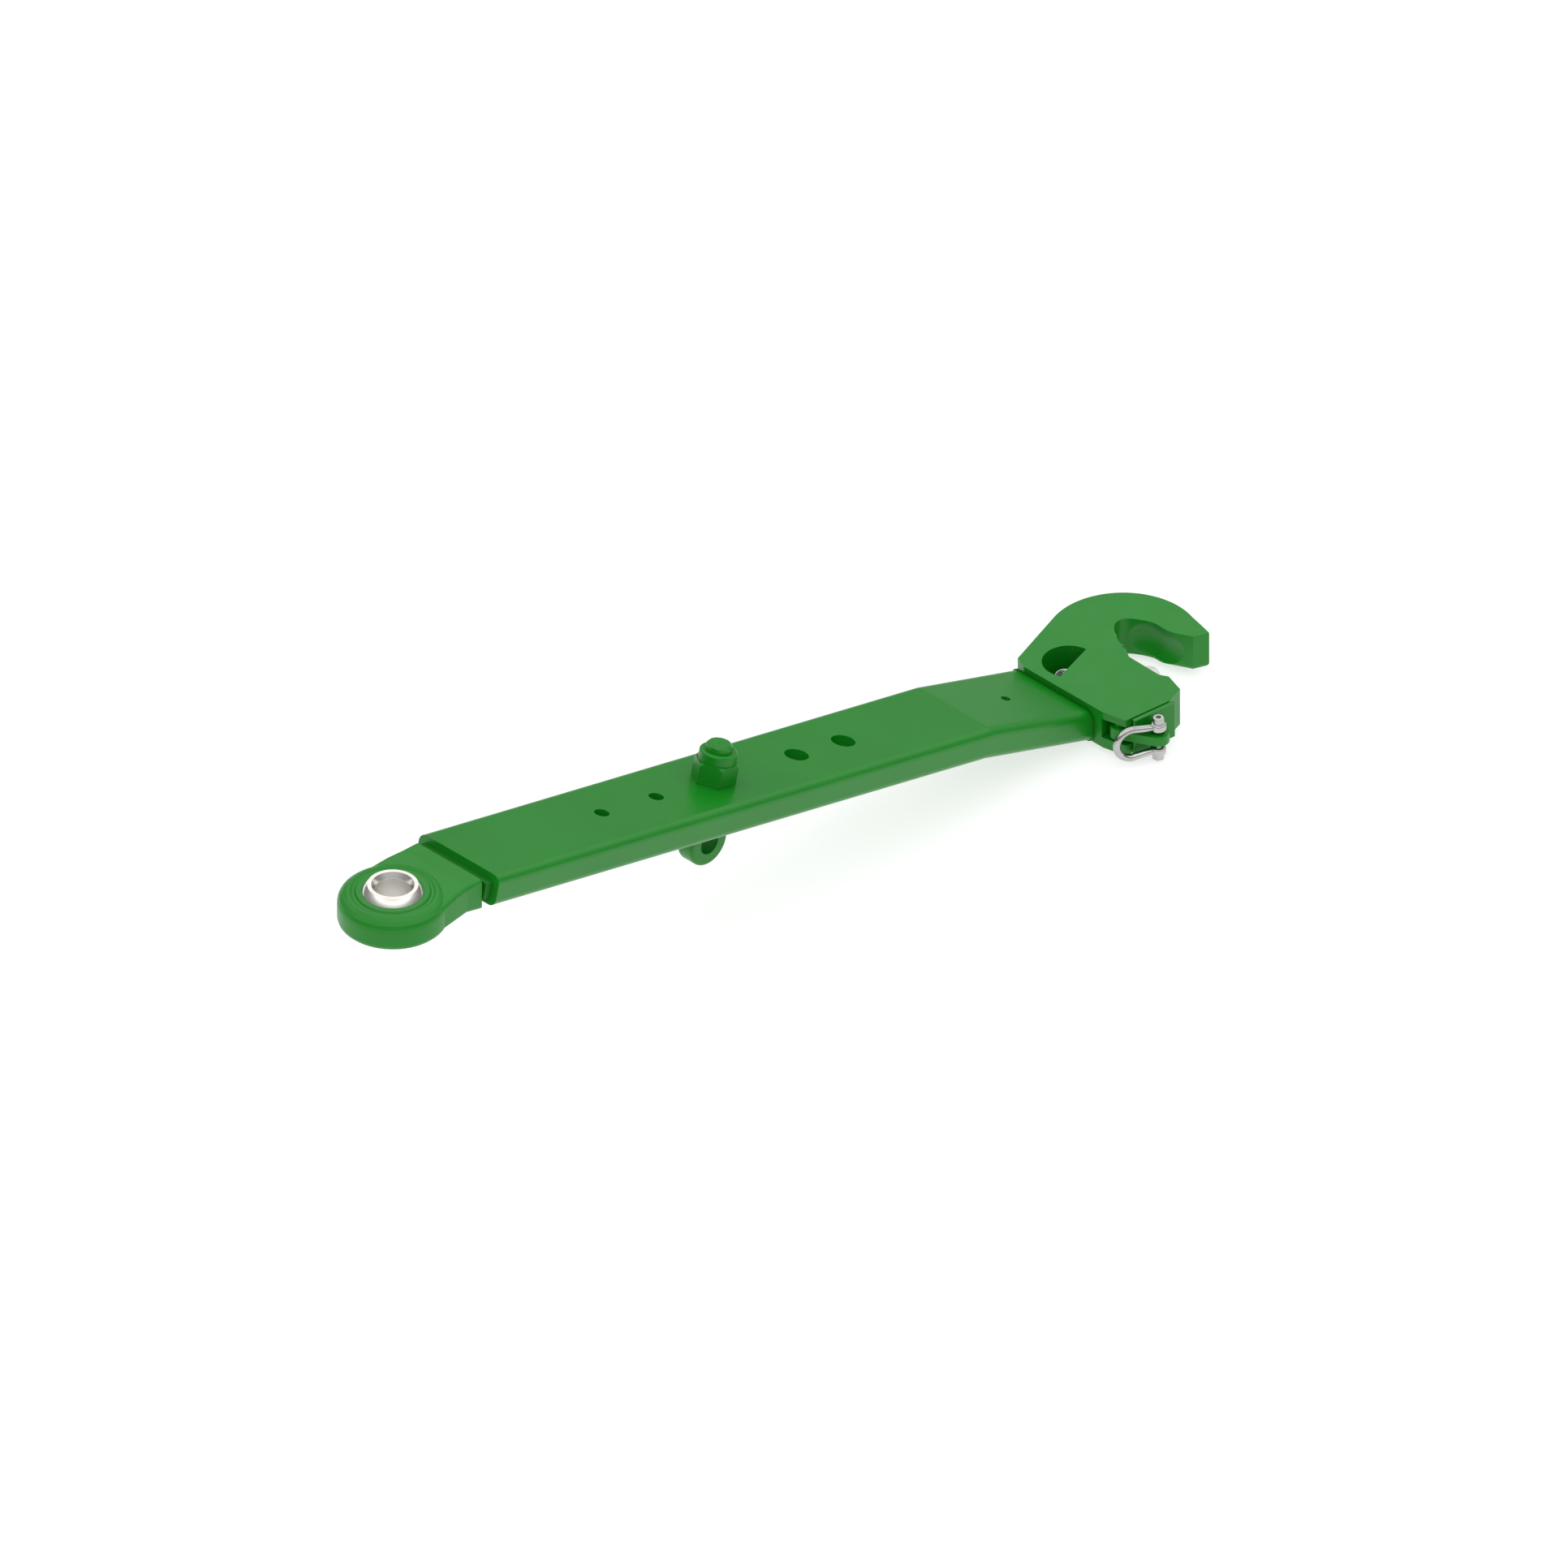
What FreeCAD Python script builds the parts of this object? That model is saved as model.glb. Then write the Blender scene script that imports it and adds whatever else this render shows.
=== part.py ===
import FreeCAD, Part
import math
import os

# Lower link (draft arm) of a tractor three-point linkage, with a ball eye at the
# tractor end and a self-locking catch hook at the implement end.
# Frame: origin at the ball's centre, +Z along the ball's bore, +X towards the hook.
# The link is drawn lying on its side, so the lifting direction is -Y.

V = FreeCAD.Vector
AXIS_Z = V(0, 0, 1)
AXIS_Y = V(0, 1, 0)

# flat bar
BAR_WIDTH = 100.0
BAR_THICK = 30.0
BAR_EDGE_R = 8.0
BAR_END_X = 80.8
BAR_END_Z = -2.4
BAR_PITCH = 13.6
BAR_CRANK = 5.5
BAR_STRAIGHT = 635.0
BAR_MITRE_X = 826.0
SMALL_HOLE_R = 7.0
SMALL_HOLES_AT = (182.0, 252.0)
BIG_HOLE_R = 11.1
BIG_HOLES_AT = (432.5, 492.5)
PILOT_HOLE_R = 4.5
PILOT_HOLE_AT = 67.0
BOLT_AT = 325.3

# ball and its forged eye
BALL_R = 32.0
BALL_WIDTH = 45.0
BALL_BORE_R = 16.1
RACE_R = 32.06
EYE_R = 49.5
EYE_HALF = 16.0
SHANK_HALF_WIDTH = 46.5
SHANK_END_X = 70.0

# stabiliser eye bolt and its collar nut
BOLT_R = 12.0
BOLT_HOLE_R = 12.5
STAB_DROP = 29.0
STAB_R = 22.5
STAB_HOLE_R = 10.8
STAB_HALF = 9.5
NUT_FLATS = 36.0
NUT_HEX_H = 20.0
NUT_COLLAR_R = 17.2
NUT_H = 30.0

# catch hook; plan outlines are (x, d) pairs, where d = -y points to the mouth
HOOK_TOP = -173.5
HOOK_THICK = 38.0
HOOK_MID = HOOK_TOP - HOOK_THICK / 2
HOOK_BOTTOM = HOOK_TOP - HOOK_THICK
SEAT_AT = (932.5, 2.0)
MOUTH_X = 930.0
SEAT_R = 28.3
MOUTH_RUN = 120.0
CLAW_EDGE_R = 6.0
SLOT_TOP = -181.0
SLOT_BOTTOM = -201.0

# latch, release lever and their pivots, as (x, d)
LATCH_PIVOT = (886.0, 70.0)
LEVER_PIVOT = (836.0, 73.0)
DRAG_PIN = (862.0, 68.0)
LATCH_NOSE = (907.5, 38.0)
LATCH_NOSE_R = 8.0
LATCH_SWING = 26.0
SHACKLE_PIN = (853.0, 104.0)
SPRING_POST = (859.0, -19.0)
PIVOT_R = 5.0
PIN_CLEAR = 0.08
LEVER_LOW = -196.0
LEVER_HIGH = -187.0

# shackle
WIRE_R = 3.4
SHACKLE_EYE_HALF = 4.0
SHACKLE_MID = -193.5
SHACKLE_HALF_JAW = 12.5
SHACKLE_BOW_R = 14.8
SHACKLE_REACH = 24.5
SHACKLE_TURN = 155.5
SHACKLE_BOLT_R = 3.0

os.makedirs("parts", exist_ok=True)


def save(shape, name):
    shape.exportStep("parts/%s.step" % name)


def rad(angle):
    return math.radians(angle)


def plan(points, low, high):
    """Prism over a plan outline of (x, d) points."""
    corners = [V(x, -d, low) for x, d in points]
    face = Part.Face(Part.makePolygon(corners + corners[:1]))
    return face.extrude(V(0, 0, high - low))


def disc(centre, radius, low, high):
    """Upright cylinder about a plan point (x, d)."""
    return Part.makeCylinder(radius, high - low, V(centre[0], -centre[1], low))


def hull(first, first_r, second, second_r, low, high):
    """Strap around two plan circles, with tangent sides."""
    dx = second[0] - first[0]
    dd = second[1] - first[1]
    gap = math.hypot(dx, dd)
    along = math.atan2(dd, dx)
    open_angle = math.acos((first_r - second_r) / gap)
    ends = []
    for sign in (1, -1):
        turn = along + sign * open_angle
        for centre, radius in ((first, first_r), (second, second_r)):
            ends.append((centre[0] + radius * math.cos(turn), centre[1] + radius * math.sin(turn)))
    web = plan([ends[0], ends[1], ends[3], ends[2]], low, high)
    return web.fuse([disc(first, first_r, low, high), disc(second, second_r, low, high)]).removeSplitter()


def along_bar(start, drop, run, height=0.0):
    """Point in the y = 0 plane, run along a line that falls by drop degrees."""
    fall = rad(drop)
    x = start.x + run * math.cos(fall) + height * math.sin(fall)
    z = start.z - run * math.sin(fall) + height * math.cos(fall)
    return V(x, 0, z)


def bar_point(along, height):
    """Point over the bar's centre line, measured from its eye end."""
    start = V(BAR_END_X, 0, BAR_END_Z)
    if along <= BAR_STRAIGHT:
        return along_bar(start, BAR_PITCH, along, height)
    crank = along_bar(start, BAR_PITCH, BAR_STRAIGHT)
    return along_bar(crank, BAR_PITCH + BAR_CRANK, along - BAR_STRAIGHT, height)


def bar_normal(along):
    return bar_point(along, 1) - bar_point(along, 0)


def bar_hole(along, radius):
    start = bar_point(along, -BAR_THICK)
    return Part.makeCylinder(radius, 2 * BAR_THICK, start, bar_normal(along))


def bar_stretch(start, drop, length, trim=0.0):
    """Straight length of the flat bar, its section shrunk by trim all round."""
    width = BAR_WIDTH - 2 * trim
    thick = BAR_THICK - 2 * trim
    block = Part.makeBox(length, width, thick, V(0, -width / 2, -thick / 2))
    long_edges = [e for e in block.Edges if abs(e.Length - length) < 1e-6]
    block = block.makeFillet(BAR_EDGE_R - trim, long_edges)
    block.rotate(V(0, 0, 0), AXIS_Y, drop)
    block.translate(start)
    return block


def link_bar():
    """Hot-rolled flat bar, cranked once, with drilled adjustment holes."""
    start = V(BAR_END_X, 0, BAR_END_Z)
    crank = along_bar(start, BAR_PITCH, BAR_STRAIGHT)
    tail_drop = BAR_PITCH + BAR_CRANK
    main = bar_stretch(start, BAR_PITCH, BAR_STRAIGHT + 10)
    tail = bar_stretch(along_bar(crank, tail_drop, -10), tail_drop, 190)
    ahead = Part.makeBox(400, 400, 400, V(0, -200, -200))
    ahead.rotate(V(0, 0, 0), AXIS_Y, BAR_PITCH + BAR_CRANK / 2)
    ahead.translate(crank)
    beyond_hook_face = Part.makeBox(400, 400, 400, V(BAR_MITRE_X, -200, -400))
    bar = main.cut(ahead).fuse(tail.common(ahead)).cut(beyond_hook_face).removeSplitter()
    tools = [bar_hole(t, SMALL_HOLE_R) for t in SMALL_HOLES_AT]
    tools += [bar_hole(t, BIG_HOLE_R) for t in BIG_HOLES_AT]
    tools.append(bar_hole(BAR_STRAIGHT + PILOT_HOLE_AT, PILOT_HOLE_R))
    tools.append(bar_hole(BOLT_AT, BOLT_HOLE_R))
    return bar.cut(tools)


def bar_end_block(first, last, trim):
    """Slice of the bar's line in front of its eye end, between two runs."""
    start = along_bar(V(BAR_END_X, 0, BAR_END_Z), BAR_PITCH, first)
    return bar_stretch(start, BAR_PITCH, last - first, trim)


def shank_section(middle, up, half_width, low, high, corner):
    """Rounded-rectangle wire across the shank."""
    across = AXIS_Y
    edges = []
    inner_w = half_width - corner
    centres = [(inner_w, high - corner, 0), (-inner_w, high - corner, 90),
               (-inner_w, low + corner, 180), (inner_w, low + corner, 270)]
    arcs = []
    for y, z, first in centres:
        spots = []
        for turn in (first, first + 45, first + 90):
            step = across * (y + corner * math.cos(rad(turn))) + up * (z + corner * math.sin(rad(turn)))
            spots.append(middle + step)
        arcs.append(spots)
    for i, spots in enumerate(arcs):
        edges.append(Part.Arc(*spots).toShape())
        edges.append(Part.makeLine(spots[2], arcs[(i + 1) % 4][0]))
    return Part.Wire(edges)


def eye_shank():
    """Shank from the eye's ring to its weld-prepared nose at the bar's end."""
    bar_up = V(math.sin(rad(BAR_PITCH)), 0, math.cos(rad(BAR_PITCH)))
    end = V(BAR_END_X, 0, BAR_END_Z)
    w = SHANK_HALF_WIDTH
    sections = [
        shank_section(V(10, 0, 0), AXIS_Z, w, -14.5, 10.6, 4.5),
        shank_section(V(36, 0, 0), AXIS_Z, 43.6, -14.5, 13.6, 4.5),
        shank_section(V(52, 0, 0), AXIS_Z, 41.5, -14.9, 14.0, 4.5),
        shank_section(V(SHANK_END_X, 0, 0), AXIS_Z, 41.5, -19.3, 12.8, 4.0),
        shank_section(end, bar_up, 29.0, -8.0, 4.0, 3.0),
    ]
    return Part.makeLoft(sections, True, True)


def eye_forging():
    """Drop-forged eye, swaged over the ball, with a shank for welding to the bar."""
    upper = [
        (0.0, EYE_HALF), (32.8, EYE_HALF), (34.2, 14.4), (36.6, 14.2), (38.2, 15.3), (41.0, 14.8),
        (44.5, 12.8), (47.4, 10.0), (49.0, 6.8), (EYE_R, 3.6),
    ]
    under = [(EYE_R, -10.6), (48.7, -13.2), (46.6, -15.2), (43.6, -EYE_HALF), (0.0, -EYE_HALF)]
    outline = [V(r, 0, z) for r, z in upper + under]
    wire = Part.makePolygon(outline + outline[:1])
    ring = Part.Face(wire).revolve(V(0, 0, 0), AXIS_Z, 360)
    body = ring.fuse(eye_shank()).removeSplitter()
    return body.cut(Part.makeSphere(RACE_R))


def eye_weld_bead():
    """Butt weld that fills the lower part of the groove between shank and bar."""
    filler = bar_end_block(-9.0, 0.0, 7.0)
    return filler.cut(eye_forging())


def ball_bushing():
    """Ground steel ball with flat ends and a countersunk bore."""
    ball = Part.makeSphere(BALL_R)
    slab = Part.makeCylinder(BALL_R + 1, BALL_WIDTH, V(0, 0, -BALL_WIDTH / 2))
    bore = Part.makeCylinder(BALL_BORE_R, BALL_WIDTH, V(0, 0, -BALL_WIDTH / 2))
    mouth = Part.makeCone(BALL_BORE_R, 19.2, 5.5, V(0, 0, BALL_WIDTH / 2 - 5.5))
    back = mouth.mirror(V(0, 0, 0), AXIS_Z)
    return ball.common(slab).cut([bore, mouth, back])


def on_bolt_axis(shape, height):
    """Stand a shape built about +Z on the eye bolt's axis, height over the bar's middle."""
    shape.rotate(V(0, 0, 0), AXIS_Y, BAR_PITCH)
    shape.translate(bar_point(BOLT_AT, height))
    return shape


def eye_bolt():
    """Forged eye bolt; the stabiliser is pinned to its ring below the bar."""
    top = BAR_THICK / 2 + NUT_H + 7.0
    shank = Part.makeCylinder(BOLT_R, top + BAR_THICK / 2, V(0, 0, -BAR_THICK / 2))
    shank = shank.makeChamfer(2.2, [e for e in shank.Edges if e.BoundBox.ZMin > top - 1])
    mark = Part.makeCone(0.5, 2.0, 1.4, V(0, 0, top - 1.4))
    ring_z = -BAR_THICK / 2 - STAB_DROP
    ring = Part.makeCylinder(STAB_R, 2 * STAB_HALF, V(0, -STAB_HALF, ring_z), AXIS_Y)
    ring = ring.makeFillet(3.0, [e for e in ring.Edges if e.BoundBox.YLength < 1e-3])
    shoulder = Part.makeCylinder(17.0, 6.0, V(0, 0, -BAR_THICK / 2 - 6.0))
    neck = Part.makeCone(9.4, 15.0, 14.0, V(0, 0, -BAR_THICK / 2 - 18.0))
    hole = Part.makeCylinder(STAB_HOLE_R, 80, V(0, -40, ring_z), AXIS_Y)
    bolt = shank.fuse([ring, shoulder, neck]).cut([hole, mark]).removeSplitter()
    return on_bolt_axis(bolt, 0)


def eye_bolt_nut():
    """Tall hexagon nut with a round crimped collar that locks it on the thread."""
    corner = NUT_FLATS / math.sqrt(3)
    ends = [V(corner * math.cos(rad(60 * i - 2)), corner * math.sin(rad(60 * i - 2)), 0) for i in range(7)]
    hexagon = Part.Face(Part.makePolygon(ends)).extrude(V(0, 0, NUT_HEX_H))
    dome = Part.makeCone(corner + 2.2, corner - 1.6, NUT_HEX_H * 0.3, V(0, 0, NUT_HEX_H * 0.7))
    lower = Part.makeCylinder(corner + 2.2, NUT_HEX_H * 0.7)
    foot = Part.makeCone(corner - 1.2, corner + 2.2, 2.0)
    foot = foot.fuse(Part.makeCylinder(corner + 2.2, NUT_HEX_H, V(0, 0, 2.0)))
    hexagon = hexagon.common(lower.fuse(dome)).common(foot)
    collar = Part.makeCylinder(NUT_COLLAR_R, NUT_H - NUT_HEX_H + 1, V(0, 0, NUT_HEX_H - 1))
    collar = collar.makeFillet(2.0, [e for e in collar.Edges if e.BoundBox.ZMin > NUT_H - 1])
    bore = Part.makeCylinder(BOLT_R, NUT_H + 2, V(0, 0, -1))
    nut = hexagon.fuse(collar).removeSplitter().cut(bore)
    return on_bolt_axis(nut, BAR_THICK / 2)


def hook_outline():
    """Plan of the claw: straight back, round crown, beak, seat and front wall."""
    crown = (920.0, -7.0)
    crown_r = 68.5

    def on_crown(angle):
        return (crown[0] + crown_r * math.cos(rad(angle)), crown[1] + crown_r * math.sin(rad(angle)))

    def arc(first, middle, last):
        start, mid, end = [V(x, -d, HOOK_BOTTOM) for x, d in (first, middle, last)]
        return Part.Arc(start, mid, end).toShape()

    def line(*points):
        corners = [V(x, -d, HOOK_BOTTOM) for x, d in points]
        return [Part.makeLine(a, b) for a, b in zip(corners, corners[1:])]

    beak = on_crown(18)
    edges = line((BAR_MITRE_X, 62), (BAR_MITRE_X, -37), (831.4, -50.3), on_crown(-108))
    edges.append(arc(on_crown(-108), on_crown(-45), beak))
    edges += line(beak, (982.0, 28.5), (978.6, 42.0), (964.3, 36.0))
    edges += line((964.3, 36.0), (956.0, 19.0), (954.8, 13.0), (954.8, -3.0))
    edges.append(arc((954.8, -3.0), (949.2, -16.0), (944.5, -23.0)))
    edges.append(arc((944.5, -23.0), (935.5, -27.8), (926.5, -24.5)))
    edges.append(arc((926.5, -24.5), (921.5, -19.5), (918.0, -12.0)))
    edges += line((918.0, -12.0), (912.3, 2.0), (902.6, 17.5), (901.8, 56.0), (906.0, 64.0))
    edges += line((906.0, 64.0), (899.5, 84.6), (880.2, 90.7), (831.3, 84.9), (BAR_MITRE_X, 62))
    return Part.Wire(edges)


def turned_about(pivot, point, angle):
    """Plan point turned by the latch's opening angle about its pivot."""
    dx = point[0] - pivot[0]
    dd = point[1] - pivot[1]
    x = pivot[0] + dx * math.cos(rad(angle)) + dd * math.sin(rad(angle))
    d = pivot[1] - dx * math.sin(rad(angle)) + dd * math.cos(rad(angle))
    return (x, d)


def slot_space():
    """Space milled into the claw for the latch and the lever."""
    pocket = plan([(837, -16), (884, -16), (884, 14), (837, 14)], SLOT_BOTTOM, SLOT_TOP)
    round_end = disc((860, -15), 24.5, SLOT_BOTTOM, SLOT_TOP)
    room = plan([(837, 10), (882, 10), (890, 17), (925, 17), (925, 53), (899, 58), (875, 62), (837, 62)],
                SLOT_BOTTOM, SLOT_TOP)
    side_mouth = plan([(800, 60), (874, 60), (874, 120), (800, 120)], SLOT_BOTTOM, SLOT_TOP)
    swing = []
    for turn in range(0, int(LATCH_SWING) + 8, 7):
        nose = turned_about(LATCH_PIVOT, LATCH_NOSE, turn)
        swing.append(hull(LATCH_PIVOT, 12.6, nose, LATCH_NOSE_R + 0.8, SLOT_BOTTOM, SLOT_TOP))
        tail = turned_about(LATCH_PIVOT, DRAG_PIN, turn)
        swing.append(hull(LATCH_PIVOT, 12.6, tail, 8.8, SLOT_BOTTOM, SLOT_TOP))
    return pocket.fuse([round_end, room, side_mouth] + swing).removeSplitter()


def window_space():
    """Half-moon opening in the top of the claw, over the latch spring."""
    moon = disc((860, -15), 24.0, SLOT_TOP - 1, HOOK_TOP + 1)
    below_chord = plan([(820, 1.3), (900, -21.8), (900, 40), (820, 40)], SLOT_TOP - 2, HOOK_TOP + 2)
    return moon.cut(below_chord)


def hook_body():
    """Forged claw with a part-spherical seat for the implement's ball."""
    claw = Part.Face(hook_outline()).extrude(V(0, 0, HOOK_THICK))
    under = [e for e in claw.Edges if e.BoundBox.ZMax < HOOK_BOTTOM + 0.1 and e.BoundBox.XMin > 840]
    crown_and_beak = [e for e in under if e.BoundBox.YMax > 28 or e.BoundBox.XMin > 955]
    claw = claw.makeFillet(CLAW_EDGE_R, crown_and_beak)
    seat = Part.makeSphere(SEAT_R, V(SEAT_AT[0], -SEAT_AT[1], HOOK_MID))
    channel = Part.makeCylinder(SEAT_R, MOUTH_RUN, V(MOUTH_X, -SEAT_AT[1], HOOK_MID), V(0, -1, 0))
    straight_way_out = Part.makeCylinder(SEAT_R, MOUTH_RUN, V(SEAT_AT[0], -SEAT_AT[1], HOOK_MID), V(0, -1, 0))
    pivots = [
        disc(LATCH_PIVOT, PIVOT_R, HOOK_BOTTOM - 1, SLOT_TOP + 4),
        disc(LEVER_PIVOT, PIVOT_R, HOOK_BOTTOM - 1, SLOT_TOP + 4),
        disc(SPRING_POST, 4.0, HOOK_BOTTOM - 1, SLOT_BOTTOM + 1),
    ]
    return claw.cut([seat, straight_way_out, channel, slot_space(), window_space()] + pivots).removeSplitter()


def hook_weld_bead():
    """Fillet weld round the bar where it meets the back of the claw."""
    tail_drop = BAR_PITCH + BAR_CRANK
    crank = along_bar(V(BAR_END_X, 0, BAR_END_Z), BAR_PITCH, BAR_STRAIGHT)
    outer = bar_stretch(along_bar(crank, tail_drop, 100), tail_drop, 60, -1.2)
    inner = bar_stretch(along_bar(crank, tail_drop, 95), tail_drop, 70, 0.0)
    slab = Part.makeBox(1.4, 160, 80, V(BAR_MITRE_X - 1.4, -80, HOOK_MID - 40))
    under_top = Part.makeBox(60, 160, 60, V(790, -80, HOOK_TOP - 3.5 - 60))
    return outer.common(slab).common(under_top).cut(inner)


def latch():
    """Flat pawl; its nose closes the mouth under the ball, its tail carries the drag pin."""
    low = SLOT_BOTTOM + 0.5
    high = SLOT_TOP - 0.5
    nose = hull(LATCH_PIVOT, 12.0, LATCH_NOSE, LATCH_NOSE_R, low, high)
    tail = hull(LATCH_PIVOT, 12.0, DRAG_PIN, 8.0, low, LEVER_LOW - 0.5)
    bore = disc(LATCH_PIVOT, PIVOT_R + PIN_CLEAR, low - 1, high + 1)
    seat = disc(DRAG_PIN, 4.0, low - 1, high)
    return nose.fuse(tail).removeSplitter().cut([bore, seat])


def drag_pin():
    """Dowel pressed into the latch's tail, which the lever pulls."""
    return disc(DRAG_PIN, 4.0, SLOT_BOTTOM + 0.5, SLOT_TOP - 2.5)


def pivot_pin(centre):
    """Headless pivot pressed in from below, held up by its spring ring."""
    return disc(centre, PIVOT_R, HOOK_BOTTOM + 4.0, SLOT_TOP + 4.0)


def pin_ring(centre):
    """Internal spring ring that keeps a pivot pin from dropping out."""
    ring = disc(centre, PIVOT_R, HOOK_BOTTOM + 2.4, HOOK_BOTTOM + 4.0)
    return ring.cut(disc(centre, PIVOT_R - 1.6, HOOK_BOTTOM, HOOK_BOTTOM + 6.0))


def release_lever():
    """Steel lever: hub, flat arm with the rope lug, and a dust plate over the side mouth."""
    hub = disc(LEVER_PIVOT, 9.0, LEVER_LOW - 1.0, LEVER_HIGH + 1.0)
    arm = hull(LEVER_PIVOT, 9.0, DRAG_PIN, 9.5, LEVER_LOW, LEVER_HIGH)
    reach = hull(LEVER_PIVOT, 9.0, SHACKLE_PIN, 10.0, LEVER_LOW, LEVER_HIGH)
    web = hull(DRAG_PIN, 9.5, SHACKLE_PIN, 10.0, LEVER_LOW, LEVER_HIGH)
    plate = plan([(837, 86.7), (883, 92.1), (883, 96.1), (837, 90.7)], HOOK_BOTTOM + 1.5, HOOK_TOP - 0.8)
    plate = plate.makeFillet(1.9, [e for e in plate.Edges if e.BoundBox.ZLength > 30])
    drag_slot = hull((DRAG_PIN[0] - 1.2, DRAG_PIN[1]), 5.0, (DRAG_PIN[0] + 2.4, DRAG_PIN[1]), 5.0,
                     LEVER_LOW - 1, LEVER_HIGH + 1)
    bore = disc(LEVER_PIVOT, PIVOT_R + PIN_CLEAR, LEVER_LOW - 10, LEVER_HIGH + 20)
    eyelet = disc(SHACKLE_PIN, SHACKLE_BOLT_R + 0.4, LEVER_LOW - 1, LEVER_HIGH + 1)
    lever = hub.fuse([arm, reach, web, plate]).removeSplitter()
    return lever.cut([drag_slot, bore, eyelet])


def spring_post():
    """Dowel that carries the torsion spring, pressed into the claw's floor."""
    return disc(SPRING_POST, 4.0, HOOK_BOTTOM + 3.0, SLOT_BOTTOM + 5.0)


def latch_spring():
    """Torsion spring: four coils, a leg on the pocket wall and a leg behind the nose."""
    wire_r = 0.8
    coil_r = 8.3
    base = -196.0
    turns = 4
    pitch = 2.1
    coils = []
    for i in range(turns):
        coils.append(Part.makeTorus(coil_r, wire_r, V(SPRING_POST[0], -SPRING_POST[1], base + i * pitch)))
    posts = []
    for i in range(turns - 1):
        spot = V(SPRING_POST[0] - coil_r, -SPRING_POST[1], base + i * pitch)
        posts.append(Part.makeCylinder(wire_r * 0.9, pitch, spot))
    tangent = V(SPRING_POST[0] + 1.0, -SPRING_POST[1] + coil_r - 0.1, base)
    low_leg = Part.makeCylinder(wire_r * 0.95, 14.0, tangent, V(-1, 0, 0))
    start = V(SPRING_POST[0] + coil_r, -SPRING_POST[1], base + (turns - 1) * pitch)
    end = V(888.5, -43.0, start.z)
    high_leg = Part.makeCylinder(wire_r, (end - start).Length, start, end - start)
    return coils[0].fuse(coils[1:] + posts + [low_leg, high_leg]).removeSplitter()


def turned(shape):
    """Swing a shackle part from the -X direction to where the bow hangs."""
    centre = V(SHACKLE_PIN[0], -SHACKLE_PIN[1], 0)
    shape.rotate(V(0, 0, 0), AXIS_Z, SHACKLE_TURN)
    shape.translate(centre)
    return shape


def shackle_bow():
    """Bow of round bar with two flattened eyes, built along +X from the bolt."""
    half = SHACKLE_HALF_JAW
    bow = SHACKLE_BOW_R
    top = V(SHACKLE_REACH, 0, SHACKLE_MID + bow)
    low = V(SHACKLE_REACH, 0, SHACKLE_MID - bow)
    crown = V(SHACKLE_REACH + bow, 0, SHACKLE_MID)
    arc = Part.Arc(top, crown, low).toShape()
    ring = Part.Wire([Part.makeCircle(WIRE_R, top, V(1, 0, 0))])
    parts = [Part.Wire([arc]).makePipeShell([ring], True, True)]
    for sign, end in ((1, top), (-1, low)):
        neck = V(7.0, 0, SHACKLE_MID + sign * half)
        start = V(2.0, 0, neck.z)
        eye = Part.makeCylinder(7.0, 2 * SHACKLE_EYE_HALF, V(0, 0, neck.z - SHACKLE_EYE_HALF))
        eye = eye.makeFillet(2.0, [e for e in eye.Edges if e.BoundBox.ZLength < 1e-3])
        root = Part.makeCylinder(WIRE_R, neck.x - start.x, start, V(1, 0, 0))
        leg = Part.makeCylinder(WIRE_R, (end - neck).Length, neck, end - neck)
        parts += [eye, root, leg, Part.makeSphere(WIRE_R, neck), Part.makeSphere(WIRE_R, end)]
    bow_shape = parts[0].fuse(parts[1:]).removeSplitter()
    hole = Part.makeCylinder(SHACKLE_BOLT_R, 60, V(0, 0, SHACKLE_MID - 30))
    return turned(bow_shape.cut(hole))


def shackle_bolt():
    """Socket-head screw that pins the shackle to the lever's lug."""
    seat = SHACKLE_MID + SHACKLE_HALF_JAW + SHACKLE_EYE_HALF
    low = SHACKLE_MID - SHACKLE_HALF_JAW - 10.0
    head = Part.makeCylinder(5.0, 6.0, V(0, 0, seat))
    head = head.makeFillet(0.8, [e for e in head.Edges if e.BoundBox.ZMin > seat + 5])
    shank = Part.makeCylinder(SHACKLE_BOLT_R, seat - low + 1, V(0, 0, low))
    corner = 2.5 / math.cos(rad(30))
    ends = [V(corner * math.cos(rad(60 * i)), corner * math.sin(rad(60 * i)), seat + 3.0) for i in range(7)]
    socket = Part.Face(Part.makePolygon(ends)).extrude(V(0, 0, 5))
    return turned(head.fuse(shank).removeSplitter().cut(socket))


def shackle_nut():
    """Thin lock nut under the lower eye."""
    top = SHACKLE_MID - SHACKLE_HALF_JAW - SHACKLE_EYE_HALF
    corner = 5.0 / math.cos(rad(30))
    ends = [V(corner * math.cos(rad(60 * i)), corner * math.sin(rad(60 * i)), top - 4.5) for i in range(7)]
    nut = Part.Face(Part.makePolygon(ends)).extrude(V(0, 0, 4.5))
    return turned(nut.cut(Part.makeCylinder(SHACKLE_BOLT_R, 20, V(0, 0, top - 10))))


PARTS = {
    "link_bar": link_bar,
    "eye_forging": eye_forging,
    "eye_weld_bead": eye_weld_bead,
    "ball_bushing": ball_bushing,
    "stabiliser_eye_bolt": eye_bolt,
    "eye_bolt_nut": eye_bolt_nut,
    "hook_body": hook_body,
    "hook_weld_bead": hook_weld_bead,
    "latch": latch,
    "latch_drag_pin": drag_pin,
    "latch_spring": latch_spring,
    "latch_spring_post": spring_post,
    "release_lever": release_lever,
    "shackle_bow": shackle_bow,
    "shackle_bolt": shackle_bolt,
    "shackle_nut": shackle_nut,
}

for part_name, build in PARTS.items():
    save(build(), part_name)

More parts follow.
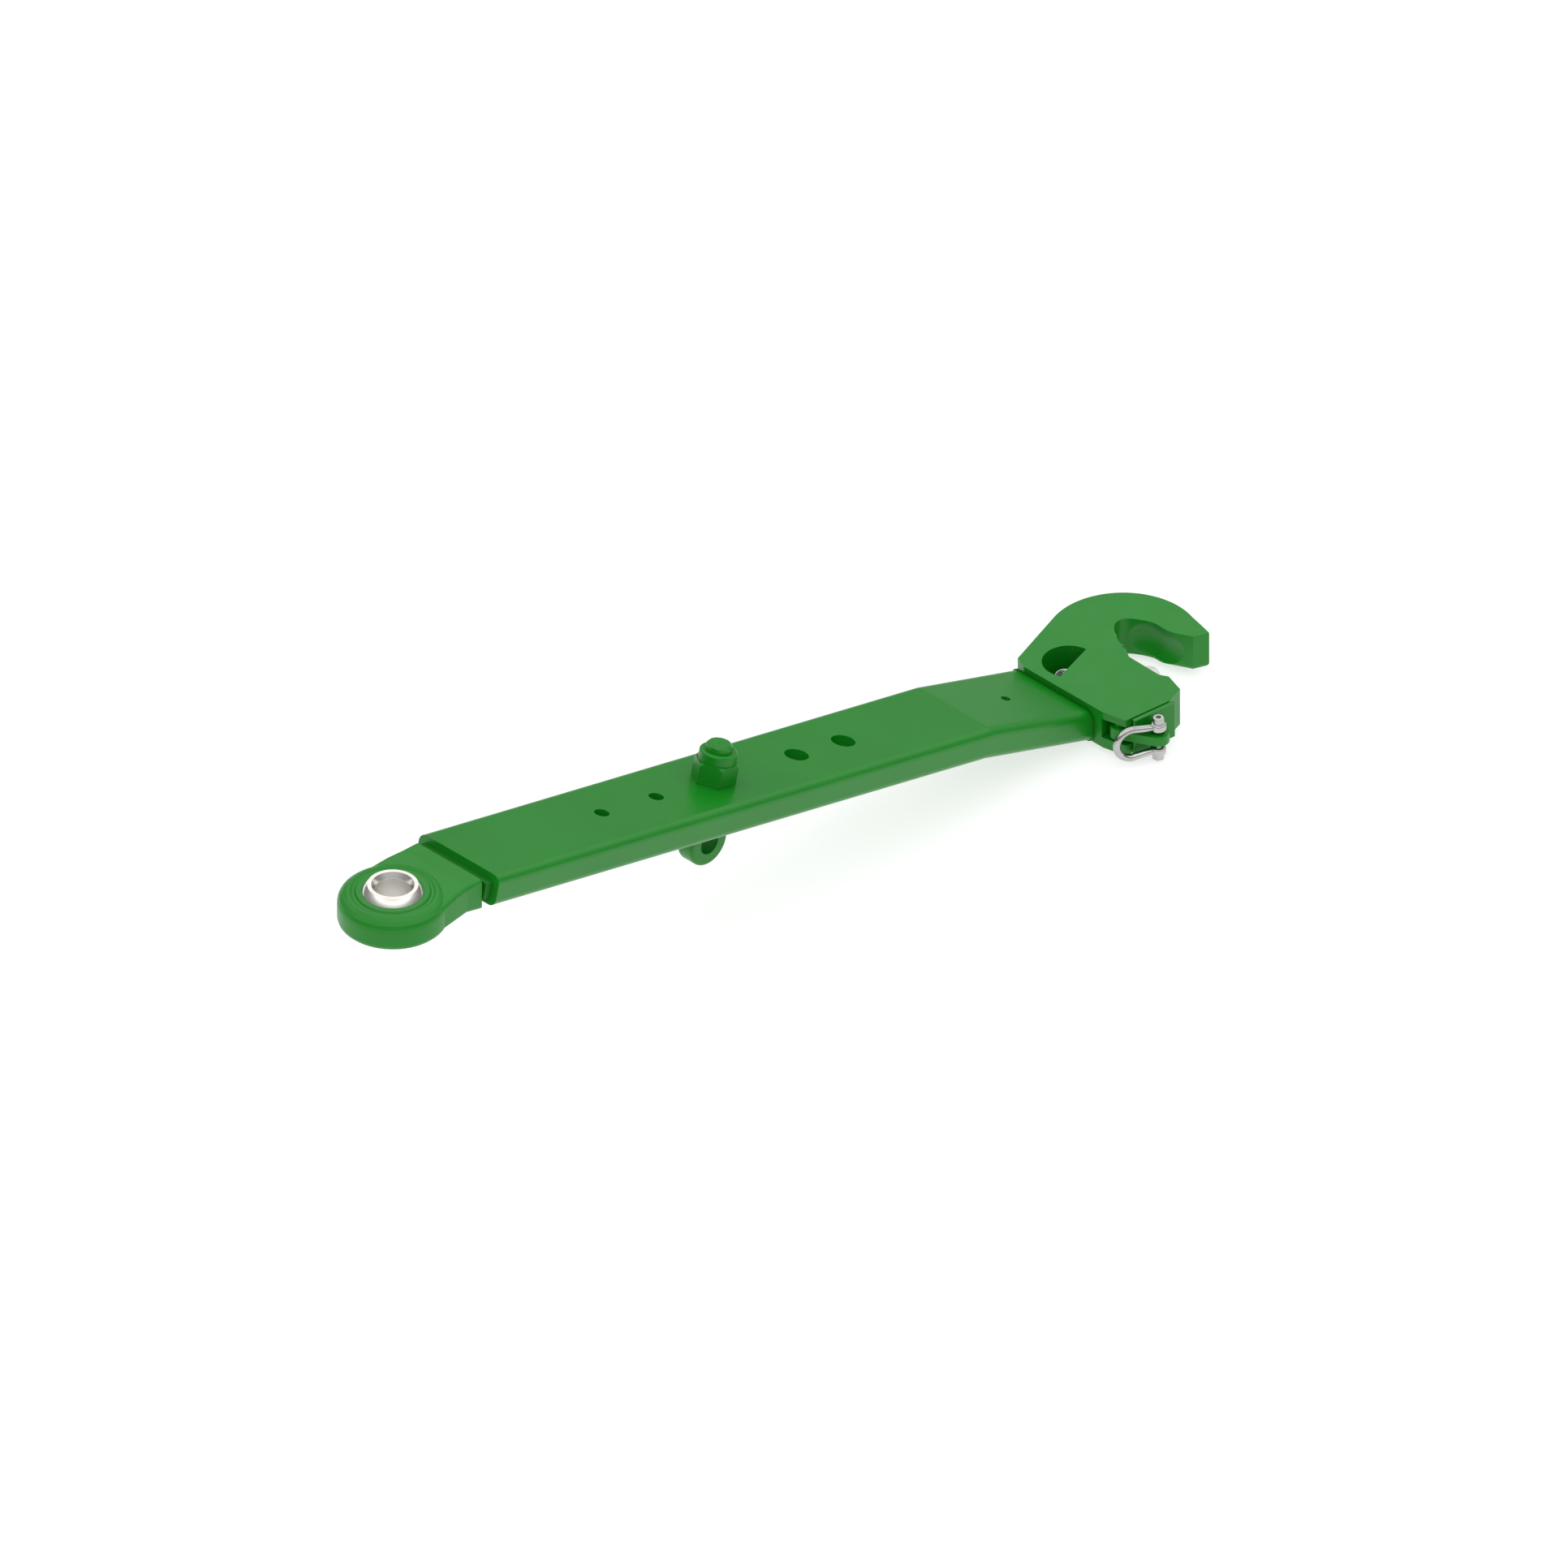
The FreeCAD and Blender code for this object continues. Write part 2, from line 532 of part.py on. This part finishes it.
for owner, spot in (("latch", LATCH_PIVOT), ("lever", LEVER_PIVOT)):
    save(pivot_pin(spot), "%s_pivot_pin" % owner)
    save(pin_ring(spot), "%s_pin_ring" % owner)
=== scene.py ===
import math

import bpy
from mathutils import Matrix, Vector


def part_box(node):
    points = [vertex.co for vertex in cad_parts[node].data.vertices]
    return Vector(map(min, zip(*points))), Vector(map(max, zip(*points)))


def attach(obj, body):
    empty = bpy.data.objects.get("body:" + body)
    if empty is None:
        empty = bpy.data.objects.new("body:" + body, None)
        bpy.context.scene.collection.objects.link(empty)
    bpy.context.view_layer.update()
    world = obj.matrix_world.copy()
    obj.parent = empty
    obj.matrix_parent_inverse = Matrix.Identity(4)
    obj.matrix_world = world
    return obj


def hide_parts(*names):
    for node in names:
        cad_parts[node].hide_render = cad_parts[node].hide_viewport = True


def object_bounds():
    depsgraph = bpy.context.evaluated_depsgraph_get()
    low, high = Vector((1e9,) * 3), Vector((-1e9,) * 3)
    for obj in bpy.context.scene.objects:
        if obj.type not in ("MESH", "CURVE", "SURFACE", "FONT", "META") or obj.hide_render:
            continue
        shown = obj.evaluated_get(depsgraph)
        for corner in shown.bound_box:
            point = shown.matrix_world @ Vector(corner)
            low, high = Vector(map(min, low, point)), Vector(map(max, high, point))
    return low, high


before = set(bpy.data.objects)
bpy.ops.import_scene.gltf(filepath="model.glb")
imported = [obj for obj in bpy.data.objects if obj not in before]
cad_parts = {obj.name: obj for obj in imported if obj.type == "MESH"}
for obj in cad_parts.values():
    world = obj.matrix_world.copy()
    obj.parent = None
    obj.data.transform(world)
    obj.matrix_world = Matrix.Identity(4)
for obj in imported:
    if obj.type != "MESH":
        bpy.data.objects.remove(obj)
cad_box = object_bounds()

# The studio: a parallel camera on an isometric direction, aimed a little ahead of the
# link. The pale floor under it glows a little of its own, so that it stays white, and the
# light is a soft sky with one wide box overhead and a weak one in front.
bpy.context.scene.view_settings.view_transform = "Standard"
target = Vector((0.2882, -0.2008, 0.0874))
forward = Vector((1, 1, -1)).normalized()
camera = bpy.data.objects.new("camera", bpy.data.cameras.new("camera"))
camera.data.type = "ORTHO"
camera.data.ortho_scale = 1.386
camera_distance = 3.0
camera.location = target - forward * camera_distance
camera.rotation_euler = forward.to_track_quat("-Z", "Y").to_euler()
bpy.context.collection.objects.link(camera)
bpy.context.scene.camera = camera

floor_gap = 0.002
floor_half = 8.0
floor_z = cad_box[0].z - floor_gap
floor_mesh = bpy.data.meshes.new("floor")
corners = [(-1, -1), (1, -1), (1, 1), (-1, 1)]
floor_points = [(floor_half * x, floor_half * y, floor_z) for x, y in corners]
floor_mesh.from_pydata(floor_points, [], [(0, 1, 2, 3)])
floor = bpy.data.objects.new("floor", floor_mesh)
bpy.context.collection.objects.link(floor)
floor_paint = bpy.data.materials.new("floor_paint")
floor_paint.use_nodes = True
floor_shader = floor_paint.node_tree.nodes["Principled BSDF"]
floor_shader.inputs["Base Color"].default_value = (0.42, 0.42, 0.42, 1)
floor_shader.inputs["Roughness"].default_value = 0.9
floor_shader.inputs["Specular IOR Level"].default_value = 0.1
floor_shader.inputs["Emission Color"].default_value = (1, 1, 1, 1)
floor_shader.inputs["Emission Strength"].default_value = 0.70
floor_mesh.materials.append(floor_paint)

world = bpy.data.worlds.new("studio")
bpy.context.scene.world = world
world.use_nodes = True
studio = world.node_tree
walls = studio.nodes.new("ShaderNodeTexCoord")
height = studio.nodes.new("ShaderNodeSeparateXYZ")
shades = studio.nodes.new("ShaderNodeValToRGB")
nadir_shade, zenith_shade = 0.14, 0.72
sky_bands = ((0.30, 0.25), (0.46, 0.45), (0.58, 1.0), (0.68, 1.0), (0.80, 0.72))
shades.color_ramp.elements[0].position = 0.0
shades.color_ramp.elements[0].color = (nadir_shade, nadir_shade, nadir_shade, 1)
shades.color_ramp.elements[1].position = 1.0
shades.color_ramp.elements[1].color = (zenith_shade, zenith_shade, zenith_shade, 1)
for position, shade in sky_bands:
    shades.color_ramp.elements.new(position).color = (shade, shade, shade, 1)
studio.links.new(walls.outputs["Generated"], height.inputs["Vector"])
studio.links.new(height.outputs["Z"], shades.inputs["Fac"])
studio.links.new(shades.outputs["Color"], studio.nodes["Background"].inputs["Color"])
studio.nodes["Background"].inputs["Strength"].default_value = 1.5
link_middle = Vector((0.47, 0, -0.1))
softboxes = {"overhead": ((0.3, -0.3, 2.4), 2.6, 9), "front": ((0.2, -2.4, 0.9), 1.8, 0.6)}
for name, (place, width, watts) in softboxes.items():
    softbox = bpy.data.objects.new(name, bpy.data.lights.new(name, "AREA"))
    softbox.data.size = width
    softbox.data.energy = watts
    softbox.location = place
    softbox.rotation_euler = (link_middle - Vector(place)).to_track_quat("-Z", "Y").to_euler()
    bpy.context.collection.objects.link(softbox)


# Link bar: hot-rolled flat steel, cranked once in a press, drilled, then sprayed green.
# Rolling leaves long shallow streaks under the paint, and the spray a fine orange peel.
def noise(tree, scale, detail, stretch=(1, 1, 1), turn=0.0):
    nodes, links = tree.nodes, tree.links
    place = nodes.new("ShaderNodeTexCoord")
    mapping = nodes.new("ShaderNodeMapping")
    mapping.inputs["Scale"].default_value = stretch
    mapping.inputs["Rotation"].default_value = (0, turn, 0)
    texture = nodes.new("ShaderNodeTexNoise")
    texture.inputs["Scale"].default_value = scale
    texture.inputs["Detail"].default_value = detail
    links.new(place.outputs["Object"], mapping.inputs["Vector"])
    links.new(mapping.outputs["Vector"], texture.inputs["Vector"])
    return texture.outputs["Fac"]


def between(tree, fac, low, high):
    spread = tree.nodes.new("ShaderNodeMapRange")
    spread.inputs["From Min"].default_value = 0.3
    spread.inputs["From Max"].default_value = 0.7
    spread.inputs["To Min"].default_value = low
    spread.inputs["To Max"].default_value = high
    tree.links.new(fac, spread.inputs["Value"])
    return spread.outputs["Result"]


def two_tone(tree, fac, first, second):
    ramp = tree.nodes.new("ShaderNodeValToRGB")
    ramp.color_ramp.elements[0].position = 0.3
    ramp.color_ramp.elements[0].color = (*first, 1)
    ramp.color_ramp.elements[1].position = 0.7
    ramp.color_ramp.elements[1].color = (*second, 1)
    tree.links.new(fac, ramp.inputs["Fac"])
    return ramp.outputs["Color"]


def raised(tree, height, depth, strength, under=None):
    bump = tree.nodes.new("ShaderNodeBump")
    bump.inputs["Distance"].default_value = depth
    bump.inputs["Strength"].default_value = strength
    tree.links.new(height, bump.inputs["Height"])
    if under:
        tree.links.new(under, bump.inputs["Normal"])
    return bump.outputs["Normal"]


crank_lean = math.radians(13.6)
peel_scale = 620
peel_depth = 0.00003


def green_paint(name, dark, light, coarse_scale, coarse_stretch, coarse_depth, roughness, coat=0.05):
    paint = bpy.data.materials.new(name)
    paint.use_nodes = True
    tree = paint.node_tree
    shader = tree.nodes["Principled BSDF"]
    shader.inputs["Coat Weight"].default_value = coat
    shader.inputs["Coat Roughness"].default_value = 0.14
    shader.inputs["IOR"].default_value = 1.42
    patches = noise(tree, 9, 3)
    tree.links.new(two_tone(tree, patches, dark, light), shader.inputs["Base Color"])
    tree.links.new(between(tree, noise(tree, 45, 4), *roughness), shader.inputs["Roughness"])
    coarse = noise(tree, coarse_scale, 3, coarse_stretch, crank_lean)
    surface = raised(tree, coarse, coarse_depth, 0.5)
    peel = raised(tree, noise(tree, peel_scale, 1), peel_depth, 0.25, surface)
    tree.links.new(peel, shader.inputs["Normal"])
    return paint


def dress(node, material):
    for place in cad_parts[node].material_slots:
        place.material = material


bar_paint = green_paint("bar_paint", (0.002, 0.196, 0.006), (0.003, 0.214, 0.008), 60, (0.12, 1.6, 1.6),
                        0.00008, (0.28, 0.36), 0.16)
dress("link_bar", bar_paint)

# Ball eye: a drop forging swaged over the ball and butt-welded to the bar. Its skin is
# a little rougher than rolled bar, with the soft dimples of forging.
forging_paint = green_paint("forging_paint", (0.001, 0.196, 0.005), (0.002, 0.214, 0.007), 130, (1, 1, 1),
                            0.00009, (0.33, 0.42))
dress("eye_forging", forging_paint)

# Stabiliser eye bolt and nut: a forged ring on a shank through the bar, held by a tall
# collar nut, sprayed along with the rest.
dress("stabiliser_eye_bolt", forging_paint)
dress("eye_bolt_nut", forging_paint)

# Claw hook: a thick forged plate with a window over the spring, butt-welded to the bar.
dress("hook_body", forging_paint)

# Release lever: a bent plate with a lug for the shackle, on a pin painted with the claw.
dress("release_lever", forging_paint)
dress("lever_pivot_pin", forging_paint)

# Weld beads: run by hand in short steps, so that each leaves a row of crescent ripples
# under the paint. Their green is darker than the bar's: painted shade of the groove they sit in.
weld_painted_shade = green_paint("weld_painted_shade", (0.001, 0.120, 0.003), (0.002, 0.145, 0.005), 300, (0.2, 1.5, 0.2),
                         0.0006, (0.36, 0.5))
dress("eye_weld_bead", weld_painted_shade)
dress("hook_weld_bead", weld_painted_shade)


# Ball: turned and ground from bearing steel, polished outside, with fine lathe rings on
# its flat ends and a duller honed bore.
def bare_steel(name, dark, light, roughness, scale, stretch, depth):
    steel = bpy.data.materials.new(name)
    steel.use_nodes = True
    tree = steel.node_tree
    shader = tree.nodes["Principled BSDF"]
    shader.inputs["Metallic"].default_value = 1.0
    tree.links.new(two_tone(tree, noise(tree, 70, 3), dark, light), shader.inputs["Base Color"])
    tree.links.new(between(tree, noise(tree, 160, 3), *roughness), shader.inputs["Roughness"])
    tree.links.new(raised(tree, noise(tree, scale, 2, stretch), depth, 0.3), shader.inputs["Normal"])
    return steel


ball_steel = bare_steel("ball_steel", (0.68, 0.66, 0.62), (0.78, 0.76, 0.72), (0.12, 0.18), 300,
                        (1, 1, 1), 0.00001)
tree = ball_steel.node_tree
shader = tree.nodes["Principled BSDF"]
place = tree.nodes.new("ShaderNodeTexCoord")
flat = tree.nodes.new("ShaderNodeVectorMath")
flat.operation = "MULTIPLY"
flat.inputs[1].default_value = (1, 1, 0)
radius = tree.nodes.new("ShaderNodeVectorMath")
radius.operation = "LENGTH"
rings = tree.nodes.new("ShaderNodeTexNoise")
rings.noise_dimensions = "1D"
rings_per_metre = 1800
rings.inputs["Scale"].default_value = rings_per_metre
tree.links.new(place.outputs["Object"], flat.inputs[0])
tree.links.new(flat.outputs["Vector"], radius.inputs[0])
tree.links.new(radius.outputs["Value"], rings.inputs["W"])
tree.links.new(raised(tree, rings.outputs["Fac"], 0.00002, 0.35), shader.inputs["Normal"])
honed_to, polished_from = 0.0162, 0.0164
honed_roughness, polished_roughness = 0.48, 0.16
bore_edge = tree.nodes.new("ShaderNodeMapRange")
bore_edge.inputs["From Min"].default_value = honed_to
bore_edge.inputs["From Max"].default_value = polished_from
bore_edge.inputs["To Min"].default_value = honed_roughness
bore_edge.inputs["To Max"].default_value = polished_roughness
tree.links.new(radius.outputs["Value"], bore_edge.inputs["Value"])
tree.links.new(bore_edge.outputs["Result"], shader.inputs["Roughness"])
dress("ball_bushing", ball_steel)

# Latch, its pins and the spring's post: hardened steel under satin plating.
plated_steel = bare_steel("plated_steel", (0.50, 0.51, 0.52), (0.64, 0.64, 0.64), (0.26, 0.38), 420,
                          (1, 1, 1), 0.00004)
for node in ("latch", "latch_drag_pin", "latch_pivot_pin", "latch_spring_post"):
    dress(node, plated_steel)

# Retaining rings: pressed from spring strip, darker than the pins they hold.
ring_steel = bare_steel("ring_steel", (0.30, 0.30, 0.31), (0.44, 0.44, 0.45), (0.3, 0.4), 500,
                        (1, 1, 1), 0.00003)
dress("latch_pin_ring", ring_steel)
dress("lever_pin_ring", ring_steel)

# Latch spring: hard-drawn wire wound round its post, one leg on the pocket's wall and
# one leg behind the latch's nose.
post_low, post_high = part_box("latch_spring_post")
post = (post_low + post_high) / 2
spring_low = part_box("latch_spring")[0]
wire_r = 0.0008
coil_r = 0.0083
coil_base = spring_low.z + wire_r
coil_rise = 0.0063
coil_top = coil_base + coil_rise
wall_leg_reach = 0.013
nose_catch = (0.8880, -0.0426, coil_top)
spring_steel = bare_steel("spring_steel", (0.56, 0.56, 0.57), (0.72, 0.72, 0.72), (0.16, 0.26), 700,
                          (1, 1, 6), 0.00002)
wind = bpy.data.node_groups.new("wind_spring", "GeometryNodeTree")
wind.is_modifier = True
sizes = {"Coil Radius": coil_r, "Rise": coil_rise, "Turns": 4.0, "Wire Radius": wire_r}
for name, value in sizes.items():
    socket = wind.interface.new_socket(name, in_out="INPUT", socket_type="NodeSocketFloat")
    socket.default_value = value
wind.interface.new_socket("Geometry", in_out="OUTPUT", socket_type="NodeSocketGeometry")
given = wind.nodes.new("NodeGroupInput")
spiral = wind.nodes.new("GeometryNodeCurveSpiral")
spiral.inputs["Resolution"].default_value = 40
wind.links.new(given.outputs["Turns"], spiral.inputs["Rotations"])
wind.links.new(given.outputs["Coil Radius"], spiral.inputs["Start Radius"])
wind.links.new(given.outputs["Coil Radius"], spiral.inputs["End Radius"])
wind.links.new(given.outputs["Rise"], spiral.inputs["Height"])
move = wind.nodes.new("GeometryNodeTransform")
move.inputs["Translation"].default_value = (post.x, post.y, coil_base)
wind.links.new(spiral.outputs["Curve"], move.inputs["Geometry"])
leg_x = post.x + coil_r
legs = (((leg_x, post.y, coil_base), (leg_x, post.y + wall_leg_reach, coil_base)),
        ((leg_x, post.y, coil_top), nose_catch))
joined = wind.nodes.new("GeometryNodeJoinGeometry")
wind.links.new(move.outputs["Geometry"], joined.inputs["Geometry"])
for start, end in legs:
    leg = wind.nodes.new("GeometryNodeCurvePrimitiveLine")
    leg.inputs["Start"].default_value = start
    leg.inputs["End"].default_value = end
    wind.links.new(leg.outputs["Curve"], joined.inputs["Geometry"])
section = wind.nodes.new("GeometryNodeCurvePrimitiveCircle")
section.inputs["Resolution"].default_value = 14
wind.links.new(given.outputs["Wire Radius"], section.inputs["Radius"])
drawn = wind.nodes.new("GeometryNodeCurveToMesh")
drawn.inputs["Fill Caps"].default_value = True
wind.links.new(joined.outputs["Geometry"], drawn.inputs["Curve"])
wind.links.new(section.outputs["Curve"], drawn.inputs["Profile Curve"])
smooth = wind.nodes.new("GeometryNodeSetShadeSmooth")
wind.links.new(drawn.outputs["Mesh"], smooth.inputs["Geometry"])
realize = wind.nodes.new("GeometryNodeRealizeInstances")
wind.links.new(smooth.outputs["Geometry"], realize.inputs["Geometry"])
finish = wind.nodes.new("GeometryNodeSetMaterial")
finish.inputs["Material"].default_value = spring_steel
wind.links.new(realize.outputs["Geometry"], finish.inputs["Geometry"])
result = wind.nodes.new("NodeGroupOutput")
wind.links.new(finish.outputs["Geometry"], result.inputs["Geometry"])


def grown(name, group):
    maker = bpy.data.objects.new(name + "_maker", bpy.data.meshes.new(name + "_maker"))
    bpy.context.collection.objects.link(maker)
    growth = maker.modifiers.new("growth", "NODES")
    growth.node_group = group
    ready = maker.evaluated_get(bpy.context.evaluated_depsgraph_get())
    mesh = bpy.data.meshes.new_from_object(ready)
    mesh.name = name
    piece = bpy.data.objects.new(name, mesh)
    bpy.context.collection.objects.link(piece)
    maker.modifiers.remove(growth)
    bpy.data.objects.remove(maker)
    return piece


wound_spring = grown("wound_latch_spring", wind)
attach(wound_spring, "link")
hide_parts("latch_spring")

# Shackle: a small bow shackle in bright round bar, closed by a socket-head screw and a
# thin nut.
shackle_steel = bare_steel("shackle_steel", (0.40, 0.40, 0.39), (0.52, 0.52, 0.51), (0.10, 0.17), 380,
                           (1, 1, 1), 0.00003)
for node in ("shackle_bow", "shackle_bolt", "shackle_nut"):
    dress(node, shackle_steel)
